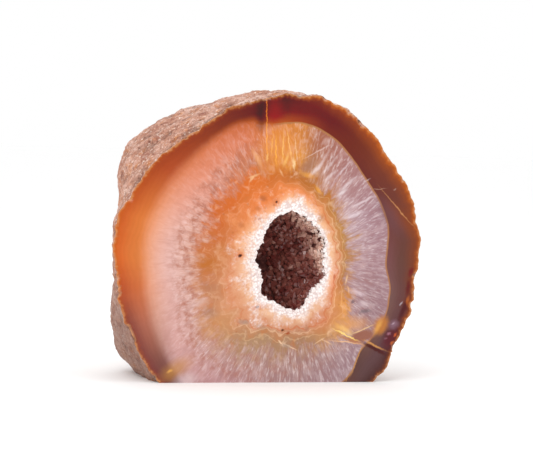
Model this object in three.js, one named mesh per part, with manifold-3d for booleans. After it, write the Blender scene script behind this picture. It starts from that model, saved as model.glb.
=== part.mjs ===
// A base-cut agate geode: half of a rough agate nodule. It is sawn and polished across its face and
// sawn flat underneath, so that it stands. The face opens on a pocket lined with quartz crystals.
// Millimetres, +Z up. The polished face looks along -Y, and the origin is under the middle of the stone.
import * as THREE from "three";
import { mergeVertices } from "three/addons/utils/BufferGeometryUtils.js";
import Module from "manifold-3d";

const wasm = await Module();
wasm.setup();

// ---------------------------------------------------------------------------------------------------
// Driving dimensions. Outlines are [direction, radius]: degrees about the pocket's centre, seen from the
// front with 0 to the right and 90 up, and millimetres.

const STONE_DEPTH = 56; // polished face to the back of the nodule
const BASE_DROP = 40.5; // pocket centre down to the sawn base
const SQUARENESS = 2.3; // cross-section of the nodule: 2 is an ellipse, more is squarer

const FACE_OUTLINE = [
  [0, 44], [30, 46], [60, 50], [82, 54], [130, 54], [150, 57], [168, 60], [185, 59],
  [216, 59], [225, 59], [240, 57], [270, 51], [306, 50], [319, 48], [330, 45], [345, 44],
];

// Swellings and dents of the rough back: direction and width about the pocket's axis, the angle behind
// the face where each is highest, and its height.
const LOBES = [
  { direction: 140, width: 20, behind: 36, height: 13 },
  { direction: 178, width: 13, behind: 26, height: -7 },
  { direction: 211, width: 20, behind: 33, height: 7 },
  { direction: 100, width: 28, behind: 28, height: 5 },
];
const LUMP_HEIGHT = 0.9; // small lumps all over the rough back

const POCKET_DEPTH = 22;
const POCKET_FLARE = 0.24; // how much wider the pocket is inside than at its mouth, as a share
const POCKET_LEAN = { right: -5, up: -3 }; // how far the pocket's far end sits from its middle
const POCKET_MOUTH = [
  [0, 12], [30, 14], [60, 16], [90, 17], [115, 14], [150, 12], [200, 11], [230, 15],
  [260, 16], [280, 17], [300, 13], [330, 13],
];

const CRUST_GAP = 0.3; // clearance between the crystal crust and the pocket wall
const CRUST_WALL = 1.6;
const CRUST_SETBACK = 0.8; // the crust starts this far behind the polished face
const CRYSTAL_COUNT = 76;
const CRYSTAL_SIDES = 6; // quartz grows as six-sided pyramids
const CRYSTAL_RADIUS = 2.6;
const CRYSTAL_HEIGHT = 3.6;
const CRYSTAL_ROOT = 1; // how deep each crystal is rooted in the crust

const STONE_DETAIL = 15; // subdivisions of the sphere that the nodule is shaped from
const POCKET_DETAIL = 6;
const SAW_BLOCK = 400; // edge of the block that stands for what the saw takes away

// ---------------------------------------------------------------------------------------------------
// Shape helpers

const degrees = THREE.MathUtils.radToDeg;

// The radius of a closed outline in any direction, as a smooth curve through its points.
function outlineRadius(outline) {
  const turns = [-360, 0, 360];
  const directions = turns.flatMap((turn) => outline.map(([direction]) => direction + turn));
  const radii = turns.flatMap(() => outline.map(([, radius]) => radius));
  const curve = new THREE.CubicInterpolant(directions, radii, 1, [0]);
  return (direction) => curve.evaluate((direction + 360) % 360)[0];
}

const faceRadius = outlineRadius(FACE_OUTLINE);
const mouthRadius = outlineRadius(POCKET_MOUTH);

// Radius of a rounded body whose outline at the face is `across` and whose depth is `deep`.
function roundedRadius(across, deep, behind, power) {
  const sideways = Math.abs(Math.cos(behind)) / across;
  const backwards = Math.abs(Math.sin(behind)) / deep;
  return (sideways ** power + backwards ** power) ** (-1 / power);
}

function lobeHeight(lobe, direction, behind) {
  const turn = THREE.MathUtils.euclideanModulo(direction - lobe.direction + 180, 360) - 180;
  const share = Math.min(degrees(behind) / (2 * lobe.behind), 1);
  return lobe.height * Math.exp(-((turn / lobe.width) ** 2)) * Math.sin(Math.PI * share) ** 2;
}

function lumpHeight(x, y, z) {
  const wide = Math.sin(11 * x + 1) * Math.sin(9 * z + 2);
  const narrow = Math.sin(17 * z + 6 * y) * Math.sin(13 * x - 5 * y);
  return LUMP_HEIGHT * Math.min(Math.abs(y) * 4, 1) * (wide + narrow);
}

function noduleRadius(unit) {
  const direction = degrees(Math.atan2(unit.z, unit.x));
  const behind = Math.asin(Math.min(Math.abs(unit.y), 1));
  const body = roundedRadius(faceRadius(direction), STONE_DEPTH, behind, SQUARENESS);
  const lobes = LOBES.reduce((sum, lobe) => sum + lobeHeight(lobe, direction, behind), 0);
  return body + lobes + lumpHeight(unit.x, unit.y, unit.z);
}

// The pocket's wall, drawn in by `inset` towards its middle.
function pocketRadius(unit, inset) {
  const direction = degrees(Math.atan2(unit.z, unit.x));
  const behind = Math.asin(Math.min(Math.abs(unit.y), 1));
  const across = mouthRadius(direction) * (1 + POCKET_FLARE * Math.sin(2 * behind));
  return roundedRadius(across, POCKET_DEPTH, behind, 2) - inset;
}

// A sphere of small triangles, each corner moved out to `radiusAlong` its own direction.
function shapedSphere(detail, radiusAlong) {
  const geometry = new THREE.IcosahedronGeometry(1, detail);
  const corners = geometry.getAttribute("position");
  const corner = new THREE.Vector3();
  for (let i = 0; i < corners.count; i += 1) {
    corner.fromBufferAttribute(corners, i).normalize();
    corner.multiplyScalar(radiusAlong(corner));
    corners.setXYZ(i, corner.x, corner.y, corner.z);
  }
  return geometry;
}

// ---------------------------------------------------------------------------------------------------
// Cutting and joining

function toSolid(geometry) {
  const bare = geometry.clone();
  bare.deleteAttribute("normal");
  bare.deleteAttribute("uv");
  const merged = mergeVertices(bare, 1e-5);
  const vertProperties = new Float32Array(merged.getAttribute("position").array);
  const triVerts = new Uint32Array(merged.getIndex().array);
  return new wasm.Manifold(new wasm.Mesh({ numProp: 3, vertProperties, triVerts }));
}

function toGeometry(solid) {
  const { vertProperties, triVerts } = solid.getMesh();
  const geometry = new THREE.BufferGeometry();
  geometry.setAttribute("position", new THREE.BufferAttribute(vertProperties, 3));
  geometry.setIndex(new THREE.BufferAttribute(triVerts, 1));
  geometry.computeVertexNormals();
  return geometry;
}

function sawBlock(y, z) {
  return toSolid(new THREE.BoxGeometry(SAW_BLOCK, SAW_BLOCK, SAW_BLOCK).translate(0, y, z));
}

// Everything in front of the plane y = distance.
function blockInFront(distance) {
  return sawBlock(distance - SAW_BLOCK / 2, 0);
}

// Everything below the plane z = distance.
function blockBelow(distance) {
  return sawBlock(0, distance - SAW_BLOCK / 2);
}

// The pocket leans: everything in it slides sideways the more, the deeper it lies.
const leanShare = { right: POCKET_LEAN.right / POCKET_DEPTH, up: POCKET_LEAN.up / POCKET_DEPTH };
const pocketLean = new THREE.Matrix4().makeShear(0, 0, leanShare.right, leanShare.up, 0, 0);

function pocketSolid(inset) {
  const wall = shapedSphere(POCKET_DETAIL, (unit) => pocketRadius(unit, inset));
  return toSolid(wall.applyMatrix4(pocketLean));
}

// ---------------------------------------------------------------------------------------------------
// The stone: rind, agate bands, quartz ring and chalcedony, all grown as one piece

function stoneSolid() {
  const nodule = toSolid(shapedSphere(STONE_DETAIL, noduleRadius));
  const halved = nodule.subtract(blockInFront(0));
  const standing = halved.subtract(blockBelow(-BASE_DROP));
  return standing.subtract(pocketSolid(0));
}

// ---------------------------------------------------------------------------------------------------
// The crystals: a crust on the pocket's wall, with six-sided points that face inwards

function crystalSolid(unit, index) {
  const size = 0.8 + 0.4 * Math.abs(Math.sin(index * 7.3)); // no two neighbours alike
  const height = CRYSTAL_HEIGHT * size;
  const cone = new THREE.ConeGeometry(CRYSTAL_RADIUS * size, height, CRYSTAL_SIDES);
  cone.rotateY(index);
  const inwards = unit.clone().negate();
  cone.applyQuaternion(new THREE.Quaternion().setFromUnitVectors(new THREE.Vector3(0, 1, 0), inwards));
  const wall = pocketRadius(unit, CRUST_GAP + CRUST_WALL);
  const middle = unit.clone().multiplyScalar(wall + CRYSTAL_ROOT - height / 2);
  return toSolid(cone.translate(middle.x, middle.y, middle.z).applyMatrix4(pocketLean));
}

// Directions spread evenly over the back half of a sphere, along a golden spiral.
function spreadDirections(count) {
  const goldenTurn = Math.PI * (3 - Math.sqrt(5));
  return Array.from({ length: count }, (_, i) => {
    const y = 0.16 + (0.98 - 0.16) * ((i + 0.5) / count);
    const ring = Math.sqrt(1 - y * y);
    return new THREE.Vector3(ring * Math.cos(i * goldenTurn), y, ring * Math.sin(i * goldenTurn));
  });
}

function druseSolid() {
  const envelope = pocketSolid(CRUST_GAP);
  const crust = envelope.subtract(pocketSolid(CRUST_GAP + CRUST_WALL));
  const crystals = spreadDirections(CRYSTAL_COUNT).map(crystalSolid);
  const lined = crystals.reduce((sum, crystal) => sum.add(crystal), crust);
  return lined.intersect(envelope).subtract(blockInFront(CRUST_SETBACK));
}

// ---------------------------------------------------------------------------------------------------
// The scene graph

function namedMesh(name, solid, material) {
  const mesh = new THREE.Mesh(toGeometry(solid), material);
  mesh.name = name;
  return mesh;
}

const polishedAgate = new THREE.MeshStandardMaterial({ color: "#b97a55", roughness: 0.3, metalness: 0 });
const smokyQuartz = new THREE.MeshStandardMaterial({ color: "#6b4038", roughness: 0.2, metalness: 0 });

const stone = new THREE.Group();
stone.add(namedMesh("agate_stone", stoneSolid(), polishedAgate));
stone.add(namedMesh("druse_crystals", druseSolid(), smokyQuartz));

// Stand the stone on its base with the origin under its middle.
const extent = new THREE.Box3().setFromObject(stone);
const middle = extent.getCenter(new THREE.Vector3());
stone.position.set(-middle.x, -middle.y, -extent.min.z);

const group = new THREE.Group();
group.add(stone);
group.updateMatrixWorld(true);

export default group;
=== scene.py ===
# %% [markdown]
# # A base-cut agate geode
# A geode of this kind is half of an agate nodule. The nodule grew in a gas bubble in old lava: bands of
# agate formed on the bubble's wall first, then a ring of milky quartz, then chalcedony, and last small
# quartz crystals round the space that was left. A saw opened the nodule and flattened its underside.
# This lesson builds the stone and its crystals round a measured frame, then gives each its finish.

# %% Load the measured frame
import math
import random
from bisect import bisect_right

import bmesh
import bpy
from mathutils import Matrix, Vector, noise


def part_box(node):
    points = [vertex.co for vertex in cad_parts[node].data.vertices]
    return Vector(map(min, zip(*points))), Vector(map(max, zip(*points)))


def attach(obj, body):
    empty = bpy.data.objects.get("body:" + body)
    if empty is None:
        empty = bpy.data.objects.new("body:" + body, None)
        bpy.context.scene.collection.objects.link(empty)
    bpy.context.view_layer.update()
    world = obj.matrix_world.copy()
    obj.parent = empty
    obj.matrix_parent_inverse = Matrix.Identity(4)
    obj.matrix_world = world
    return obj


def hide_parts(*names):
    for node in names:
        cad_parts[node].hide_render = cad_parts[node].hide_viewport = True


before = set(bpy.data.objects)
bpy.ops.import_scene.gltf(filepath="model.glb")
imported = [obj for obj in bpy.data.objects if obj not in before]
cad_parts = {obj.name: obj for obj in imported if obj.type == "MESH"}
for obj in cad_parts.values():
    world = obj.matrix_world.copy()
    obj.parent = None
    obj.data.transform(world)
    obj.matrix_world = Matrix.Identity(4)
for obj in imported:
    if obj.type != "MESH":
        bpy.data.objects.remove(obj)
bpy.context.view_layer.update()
stone_low, stone_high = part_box("agate_stone")
print("nodes in the frame:", sorted(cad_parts))
print("stone, mm:", [round(1000 * side, 1) for side in stone_high - stone_low])

# %% [markdown]
# ## Where the parts of the stone are
# Everything on the face is arranged round the pocket's centre, so that point is the origin of all the
# working sizes. They are millimetres here, which suit a stone of this size, and turn to metres at the end.
# Working in metres from the start would do as well, but 0.0405 is harder to picture than 40.5.

# %% The pocket's centre and the working scale
MM = 0.001
FACE_REACH_LEFT = 59.6  # from the pocket's centre to the left end of the face
BASE_DROP = 40.5  # from the pocket's centre down to the sawn base
centre = Vector((stone_low.x + FACE_REACH_LEFT * MM, stone_low.y, stone_low.z + BASE_DROP * MM))
print("pocket centre, mm:", [round(part / MM, 1) for part in centre])

# %% [markdown]
# ## Outlines
# Each band of the agate is a closed outline round the pocket. It could be a drawn curve, but the mesh
# will ask for the radius in any direction, so an outline is a short list of directions and radii in mm.
# Directions are degrees seen from the front: 0 is right, 90 is up.

# %% Outlines of the bands on the face
POCKET_EDGE = [
    (0, 11.5), (30, 13.5), (60, 15), (90, 16), (110, 15), (130, 13), (150, 11.5), (180, 11.5), (200, 10.5),
    (215, 11.5), (230, 14.5), (250, 14.5), (270, 16), (283, 16.5), (297, 14), (312, 12.5), (325, 13),
    (340, 13), (350, 12),
]
WHITE_RIM_EDGE = [
    (0, 14.5), (30, 15), (60, 17.5), (80, 20.5), (92, 21), (104, 18.5), (120, 17), (150, 15.6), (200, 15.4),
    (230, 18), (260, 19), (283, 20), (300, 18), (330, 15.5),
]
CHALCEDONY_EDGE = [
    (0, 20), (30, 21.5), (60, 25), (80, 28), (100, 30), (120, 31), (150, 30), (180, 30), (195, 31),
    (210, 34), (225, 35), (240, 33), (260, 29.5), (280, 28.5), (300, 29), (312, 29.5), (322, 26),
    (332, 22), (345, 20.5),
]
QUARTZ_EDGE = [
    (0, 33.5), (20, 36), (50, 38), (70, 43), (84, 45.6), (100, 45.6), (112, 47), (140, 45.2), (170, 46.2),
    (200, 46.4), (220, 51.5), (235, 53), (260, 49), (285, 46.5), (300, 44), (310, 39.5), (330, 38.5),
    (345, 36.5),
]
FACE_EDGE = [
    (0, 45), (15, 46.2), (30, 47.4), (45, 48.4), (60, 51.6), (80, 55), (100, 54.6), (120, 54), (135, 54.5),
    (150, 57), (160, 58), (168, 60), (180, 59), (200, 58.5), (216, 59), (225, 59.5), (240, 57),
    (255, 54), (270, 51), (290, 50.5), (305, 50.4), (313, 50), (319, 48.4), (325, 46), (332, 46), (341, 46),
    (350, 44.2),
]
OUTLINES = (POCKET_EDGE, WHITE_RIM_EDGE, CHALCEDONY_EDGE, QUARTZ_EDGE, FACE_EDGE)
BAND_DEPTHS = (22, 25, 34, 45, 56)  # how far back each band reaches, straight behind the pocket
print("points in the outlines:", [len(points) for points in OUTLINES])

# %% [markdown]
# ## A smooth curve through the points
# Straight lines would show corners, so each stretch between two points is a cubic curve whose slopes come
# from the neighbouring points. That takes few points, and it suits a stone, which has no exact radius.
# The pocket's edge gets teeth on top, because the saw cut through single crystals there.

# %% From points to edges
def smooth_outline(points):
    """Return a function that gives the outline's radius in any direction, in degrees."""
    directions = [point[0] + turn for turn in (-360, 0, 360) for point in points]
    radii = [point[1] for point in points] * 3

    def slope(i):
        return (radii[i + 1] - radii[i - 1]) / (directions[i + 1] - directions[i - 1])

    def radius(direction):
        direction %= 360
        i = bisect_right(directions, direction) - 1
        step = directions[i + 1] - directions[i]
        t = (direction - directions[i]) / step
        start, end = radii[i], radii[i + 1]
        curve = (2 * t**3 - 3 * t**2 + 1) * start + (3 * t**2 - 2 * t**3) * end
        return curve + step * ((t**3 - 2 * t**2 + t) * slope(i) + (t**3 - t**2) * slope(i + 1))

    return radius


POCKET_RADIUS = 14  # about half the width of the pocket, in mm
TEETH = ((2.6, 0.8), (0.9, 0.7))  # mm: the width of the crystals that are cut, and how far they stick out


def toothed(outline):
    """The pocket's edge, with teeth where it cuts through single crystals."""

    def radius(direction):
        turn = math.radians(direction)
        spot = Vector((math.cos(turn), math.sin(turn), 0)) * POCKET_RADIUS
        return outline(direction) + sum(height * noise.noise(spot / width) for width, height in TEETH)

    return radius


edges = [smooth_outline(points) for points in OUTLINES]
edges[0] = toothed(edges[0])
print("face radius to the right, mm:", edges[-1](0))

# %% [markdown]
# ## Camera
# A long lens far away keeps the stone's shape free of strong perspective, as a maker of a catalogue would
# want. The camera stands a little to the left and a little high, so that the rind shows beside the face.
# It is placed by angles round the stone, because those are easier to change than coordinates.

# %% Camera
CAMERA_AZIMUTH = -15.0
CAMERA_ELEVATION = 3.0
CAMERA_ROLL = 1.6
CAMERA_DISTANCE = 694 * MM
LENS = 142
AIM = centre + Vector((-8.2, 0, 7.8)) * MM  # near the middle of the face


def aim_from(azimuth, elevation, distance, target):
    """A place and a turn that look at the target. Azimuth 0 looks along +Y."""
    a, e = math.radians(azimuth), math.radians(elevation)
    backwards = Vector((math.sin(a) * math.cos(e), -math.cos(a) * math.cos(e), math.sin(e)))
    return target + backwards * distance, backwards.to_track_quat("Z", "Y")


camera = bpy.data.objects.new("camera", bpy.data.cameras.new("camera"))
bpy.context.scene.collection.objects.link(camera)
camera.data.lens = LENS
camera.data.clip_start = 0.01
place, turn = aim_from(CAMERA_AZIMUTH, CAMERA_ELEVATION, CAMERA_DISTANCE, AIM)
camera.matrix_world = Matrix.LocRotScale(place, turn, None) @ Matrix.Rotation(math.radians(CAMERA_ROLL), 4, "Z")
bpy.context.scene.camera = camera
print("camera, mm:", [round(part / MM) for part in place])

# %% [markdown]
# ## Colour and node helpers
# Colours are written as the hex values that a painter's palette would show. Blender mixes light, not
# paint, so one function turns them to linear values. A second function adds any shader node. Nodes could
# be dragged together by hand, but a script says each one's settings and links in a line that can be read.

# %% Hex colours and one node function
def linear(code):
    """Turn a colour such as #a87a6c into linear values. Two more digits would say how opaque it is."""
    parts = [int(code[i : i + 2] or "ff", 16) / 255 for i in (1, 3, 5, 7)]
    opaque = parts.pop()
    return tuple(p / 12.92 if p <= 0.04045 else ((p + 0.055) / 1.055) ** 2.4 for p in parts) + (opaque,)


def pick(sockets, key):
    """A socket by its number, or the first one in use with that name."""
    return sockets[key] if isinstance(key, int) else next(s for s in sockets if s.name == key and s.enabled)


def add(tree, kind, settings=None, **links):
    """Add one node and give back an output. Settings are its properties and unlinked inputs."""
    node = tree.nodes.new("ShaderNode" + kind)
    settings = dict(settings or {})
    give = settings.pop("give", None)
    inputs = {}
    for name, value in settings.items():
        if name == "stops":
            for i, (position, colour) in enumerate(value):
                stops = node.color_ramp.elements
                stop = stops[i] if i < 2 else stops.new(position)
                stop.position = position
                stop.color = linear(colour)
        elif isinstance(name, str) and hasattr(node, name):
            setattr(node, name, value)
        else:
            inputs[name] = value
    for name, value in inputs.items():
        pick(node.inputs, name).default_value = value
    for name, source in links.items():
        key = int(name[1:]) if name[1:].isdigit() else name.replace("_", " ")
        tree.links.new(pick(node.inputs, key), source)
    return node.outputs[give] if give else next(s for s in node.outputs if s.enabled)


print("an agate brown in linear light:", [round(part, 3) for part in linear("#a87a6c")])

# %% [markdown]
# ## Lamps and world
# Large lamps cast soft shadows, as the cloth boxes in a studio do. The main one stands at the left, a
# weak one fills the right, and one behind picks out the rim of the rind. The world's even white light
# keeps the floor pale as far as the camera sees.

# %% Lamps and world
def soft_lamp(name, azimuth, elevation, distance, size, power):
    """A square lamp that looks at the stone. Angles are degrees, distance and size metres, power watts."""
    lamp = bpy.data.objects.new(name, bpy.data.lights.new(name, "AREA"))
    lamp.data.size = size
    lamp.data.energy = power
    place, turn = aim_from(azimuth, elevation, distance, AIM)
    lamp.matrix_world = Matrix.LocRotScale(place, turn, None)
    bpy.context.scene.collection.objects.link(lamp)


soft_lamp("key_lamp", -35, 45, 0.7, 0.35, 1.2)
soft_lamp("fill_lamp", 40, 30, 0.8, 0.5, 0.3)
soft_lamp("back_lamp", 170, 50, 0.8, 0.5, 0.5)

world = bpy.data.worlds.new("studio")
world.use_nodes = True
world.node_tree.nodes["Background"].inputs["Color"].default_value = linear("#ffffff")
world.node_tree.nodes["Background"].inputs["Strength"].default_value = 1.0
bpy.context.scene.world = world
bpy.context.scene.view_settings.view_transform = "Standard"
print("lamps:", [lamp.name for lamp in bpy.data.lights])

# %% [markdown]
# ## Floor
# The stone stands on matt white card. One flat square does for it, so wide that its edge is never seen.
# A small function makes the object, because the stone and its crystals need the same step later.

# %% Floor
def as_object(name, mesh):
    """Turn a finished bmesh into an object in the scene."""
    made = bpy.data.objects.new(name, bpy.data.meshes.new(name))
    mesh.to_mesh(made.data)
    mesh.free()
    bpy.context.scene.collection.objects.link(made)
    return made


def new_material(name, roughness):
    """A material with nodes: the material, its node tree and its main shader."""
    material = bpy.data.materials.new(name)
    material.use_nodes = True
    skin = material.node_tree.nodes["Principled BSDF"]
    skin.inputs["Roughness"].default_value = roughness
    return material, material.node_tree, skin


FLOOR_SIZE = 6.0  # metres
floor_mesh = bmesh.new()
bmesh.ops.create_grid(floor_mesh, x_segments=1, y_segments=1, size=FLOOR_SIZE)
floor = as_object("floor", floor_mesh)
floor_card, _, floor_skin = new_material("matt_white_floor", 0.9)
floor_skin.inputs["Base Color"].default_value = linear("#ffffff")
floor.data.materials.append(floor_card)
print("floor corners:", len(floor.data.vertices))

# %% [markdown]
# ## What changes on the way round
# No band of the agate looks the same all round. The outer band is soft against the quartz on the left and
# sharp on the right, and the quartz is mottled on one side and feathery on the other. Each of these is one
# more smooth curve by direction, and the mesh will carry its value to the material.

# %% Values that change on the way round the face
RING_VALUES = {
    # how soft the border between the quartz and the outer band is
    "softness": [(0, 0.03), (60, 0.03), (96, 0.04), (104, 0.25), (125, 0.5), (150, 0.5), (180, 0.4),
                 (205, 0.45), (218, 0.3), (245, 0.3), (285, 0.12), (300, 0.03)],
    # how much light shines through the thin edge next to the rind
    "glow": [(0, 0.5), (20, 0.7), (45, 0.9), (80, 0.85), (92, 0.4), (125, 0.35), (150, 0.4), (180, 0.65),
             (205, 0.3), (240, 0.35), (300, 0.2), (325, 0.35)],
    # how strongly white feathers of quartz show
    "feathers": [(0, 0.5), (25, 0.75), (45, 0.75), (70, 0.7), (84, 0.5), (100, 0.5), (130, 0.35), (180, 0.4),
                 (230, 0.5), (265, 0.75), (300, 0.6)],
    # how strongly brown clouds show in the quartz
    "mottle": [(0, 0.15), (60, 0.15), (100, 0.3), (125, 0.8), (180, 1), (225, 0.8), (255, 0.45), (300, 0.2)],
    # how clearly the thin layers of the chalcedony show
    "lace": [(0, 1), (50, 0.9), (80, 0.4), (130, 0.3), (180, 0.45), (220, 0.4), (245, 0.9), (300, 0.9)],
}
ring_values = {name: smooth_outline(points) for name, points in RING_VALUES.items()}
print("ring values:", {name: round(value(45), 2) for name, value in ring_values.items()})

# %% [markdown]
# ## The stone's surface as one wrapped sphere
# A stone with a pocket is still one closed skin, like a ball with a dent. So the mesh starts as a sphere
# whose poles look forwards and back. The rings near the front pole are pushed in to line the pocket, the
# next rings are pressed flat into the sawn face, and all the others swell into the rough back. Every ring
# on the face lies on a band of the agate, which lets the material follow the bands.

# %% Rings of the wrapped sphere
AROUND = 512  # points round each ring
POCKET_RINGS = 26
RIND_RINGS = 150
FACE_STATIONS = [0.33, 0.66, 1, 1.33, 1.66, 2, 2.25, 2.5, 2.75, 3, 3.25, 3.5, 3.75, 3.88, 3.95, 4]
FACE_RINGS = len(FACE_STATIONS)
POCKET_FLARE = 0.24  # how much wider the pocket is inside than at its edge
POCKET_LEAN = Vector((-5, 0, -3))  # mm that the pocket's far end sits to the left and down
SQUARENESS = 2.3  # of the nodule's cross-section: 2 is an ellipse


def rounded(across, deep, behind, power):
    """Radius of a rounded body, at an angle behind the face."""
    return ((abs(math.cos(behind)) / across) ** power + (abs(math.sin(behind)) / deep) ** power) ** (-1 / power)


def from_angles(radius, direction, behind):
    """A point in mm from the pocket's centre: x right, y back, z up."""
    sideways = radius * math.cos(behind)
    turn = math.radians(direction)
    return Vector((sideways * math.cos(turn), radius * math.sin(behind), sideways * math.sin(turn)))


def pocket_point(direction, behind):
    """A point on the pocket's wall."""
    across = edges[0](direction) * (1 + POCKET_FLARE * math.sin(2 * behind))
    spot = from_angles(rounded(across, BAND_DEPTHS[0], behind, 2), direction, behind)
    return spot + POCKET_LEAN * spot.y / BAND_DEPTHS[0]


print("the pocket's far end, mm:", [round(part, 1) for part in pocket_point(0, math.pi / 2)])

# %% [markdown]
# ## The rough back
# The rind is what the lava left on the nodule: swellings and dents a few centimetres wide, knobs of some
# millimetres, fine ridges side by side, and pits where mineral grains fell out. Each is a layer of noise
# at its own scale. Real depth in the mesh gives the outline its broken edge, which bump alone can't.

# %% Swellings and dents
LOBES = [  # direction, width in degrees, angle behind the face where it is highest, height in mm
    (139, 22, 36, 12.6), (176, 14, 26, -7.5), (213, 18.5, 33, 8.3), (103, 28, 28, 4.4),
]


def lobe_height(direction, behind):
    total = 0
    for toward, width, highest, height in LOBES:
        turn = (direction - toward + 180) % 360 - 180
        share = min(math.degrees(behind) / (2 * highest), 1)
        total += height * math.exp(-((turn / width) ** 2)) * math.sin(math.pi * share) ** 2
    return total


print("highest swelling, mm:", round(max(lobe_height(turn, 0.6) for turn in range(360)), 1))


# %% Rough texture
def rind_relief(spot):
    """Rough texture in mm at a spot on the rind: knobs, ridges along the saw cut, grit and pits.

    Each factor in front is a height, and each number under a slash is a width, all in mm.
    """
    knobs = 0.75 * noise.fractal(spot / 6, 0.9, 2.0, 4)
    ridges = 0.3 * noise.noise(Vector((spot.x / 9, spot.y / 1.1, spot.z / 9)))
    grit = 0.32 * noise.fractal(spot / 1.6, 0.9, 2.0, 2)
    nearest = noise.voronoi(spot / 4.2)[0][0]
    pits = -1.1 * max(0.0, 0.42 - nearest) * max(0.0, 0.4 + noise.noise(spot / 11)) / 0.42
    return knobs + ridges + grit + pits


def rind_point(direction, behind):
    """A point on the rough back, and the height of its fine texture."""
    radius = rounded(edges[-1](direction), BAND_DEPTHS[-1], behind, SQUARENESS) + lobe_height(direction, behind)
    spot = from_angles(radius, direction, behind)
    lumps = 1.2 * min(spot.y / 15, 1) * noise.fractal(spot / 22, 1.0, 2.0, 2)
    relief = rind_relief(spot)
    return from_angles(radius + lumps + relief, direction, behind), relief


print("top of the face, mm:", [round(part, 1) for part in rind_point(90, 0)[0]])

# %% [markdown]
# ## The edge of the face
# Agate breaks like glass, so the edge between the polish and the rind has small chips. A noise along the
# edge says where they are. A chipped point moves inwards and back, which shows in the outline and gives
# the light a rim to catch on. Cutting each chip with a boolean would be slower and no truer.

# %% Chips, and the points of the face
CHIPS_FROM = 3.88  # the growth value where the chips begin
WIDE_CHIP, NARROW_CHIP = 4.2, 1.3  # mm along the edge
CHIP_IN, CHIP_BACK = 0.7, 1.3  # mm that a chip takes off, towards the pocket and backwards


def chip_depth(direction):
    """How much of the polished edge has broken away in this direction, from 0 to 1."""
    spot = from_angles(edges[-1](direction), direction, 0)
    uneven = noise.noise(spot / WIDE_CHIP) + 0.5 * noise.noise(spot / NARROW_CHIP)
    return max(0.0, min(1.0, 2.4 * (uneven - 0.22)))


def face_point(direction, growth):
    """A point on the polished face. Growth counts the bands: 0 at the pocket, 4 at the rind."""
    band = min(int(growth), 3)
    outer = rind_point(direction, 0)[0].length if band == 3 else edges[band + 1](direction)
    radius = edges[band](direction) + (outer - edges[band](direction)) * (growth - band)
    broken = chip_depth(direction) * max(0.0, (growth - CHIPS_FROM) / (4 - CHIPS_FROM))
    spot = from_angles(radius - CHIP_IN * broken, direction, 0)
    spot.y += CHIP_BACK * broken
    return spot, broken, (outer if band == 3 else edges[-1](direction)) - radius


print("chipped share of the edge:", round(sum(chip_depth(turn) > 0 for turn in range(360)) / 360, 2))

# %% [markdown]
# ## Wrapping the sphere
# The loop below visits each point of the sphere once. Its ring says which surface it belongs to and its
# direction says where on the ring it lies. The four values kept on each point are what the materials
# read later: how far the bands had grown, the height of the rough texture, the distance from the rind,
# and whether the edge is chipped there.

# %% A sphere with named values on its points
RINGS = POCKET_RINGS + FACE_RINGS + RIND_RINGS
stone_mesh = bmesh.new()
bmesh.ops.create_uvsphere(stone_mesh, u_segments=AROUND, v_segments=RINGS, radius=1)
bmesh.ops.rotate(stone_mesh, verts=stone_mesh.verts, matrix=Matrix.Rotation(math.radians(90), 3, "X"))
growth_layer = stone_mesh.verts.layers.float.new("growth")
relief_layer = stone_mesh.verts.layers.float.new("relief")
chip_layer = stone_mesh.verts.layers.float.new("chip")
gap_layer = stone_mesh.verts.layers.float.new("rim_gap")
ring_layers = {name: stone_mesh.verts.layers.float.new(name) for name in ring_values}
RIND_GROWTH = 4.1  # past the last band


def set_ring_values(vert, direction):
    for name, layer in ring_layers.items():
        vert[layer] = max(0.0, ring_values[name](direction))


print("rings:", RINGS, "points:", len(stone_mesh.verts))

# %% Wrap the sphere
ring_of = {}
for vert in stone_mesh.verts:
    polar = math.acos(max(-1, min(1, -vert.co.y)))
    ring = round(RINGS * polar / math.pi)
    direction = math.degrees(math.atan2(vert.co.z, vert.co.x))
    ring_of[vert] = ring
    if ring < POCKET_RINGS:
        behind = math.radians(90 * (1 - ring / POCKET_RINGS))
        vert.co = pocket_point(direction, behind)
        vert[growth_layer] = -vert.co.y / BAND_DEPTHS[0]
    elif ring <= POCKET_RINGS + FACE_RINGS:
        growth = ([0] + FACE_STATIONS)[ring - POCKET_RINGS]
        vert.co, vert[chip_layer], vert[gap_layer] = face_point(direction, growth)
        vert[growth_layer] = growth
        set_ring_values(vert, direction)
    else:
        behind = math.radians(90 * (ring - POCKET_RINGS - FACE_RINGS) / RIND_RINGS)
        vert.co, vert[relief_layer] = rind_point(direction, behind)
        vert[growth_layer] = RIND_GROWTH
print("deepest point, mm behind the face:", round(max(vert.co.y for vert in stone_mesh.verts), 1))

# %% [markdown]
# ## Four surfaces
# The polished face, the rind, the sawn base and the pocket's wall have four different finishes, so each
# polygon gets the number of its surface from the ring that it lies on. The face is shaded flat, because
# the saw left it flat, and smooth shading would bend the light near its edges.

# %% Name the surfaces
FACE, RIND, BASE, POCKET = range(4)
for poly in stone_mesh.faces:
    lowest = min(ring_of[v] for v in poly.verts)
    if lowest < POCKET_RINGS:
        poly.material_index = POCKET
    elif lowest < POCKET_RINGS + FACE_RINGS:
        poly.material_index = FACE
    else:
        poly.material_index = RIND
    poly.smooth = poly.material_index != FACE
print("wrapped sphere:", len(stone_mesh.faces), "faces")

# %% [markdown]
# ## The sawn base
# The base is one straight saw cut, so one bisect takes off all that is below it and the hole is filled
# with a flat face. That face is then sliced into small squares. They add no shape, but each corner can
# carry a growth value, so the agate bands show underneath as they would on the real cut.

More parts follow.
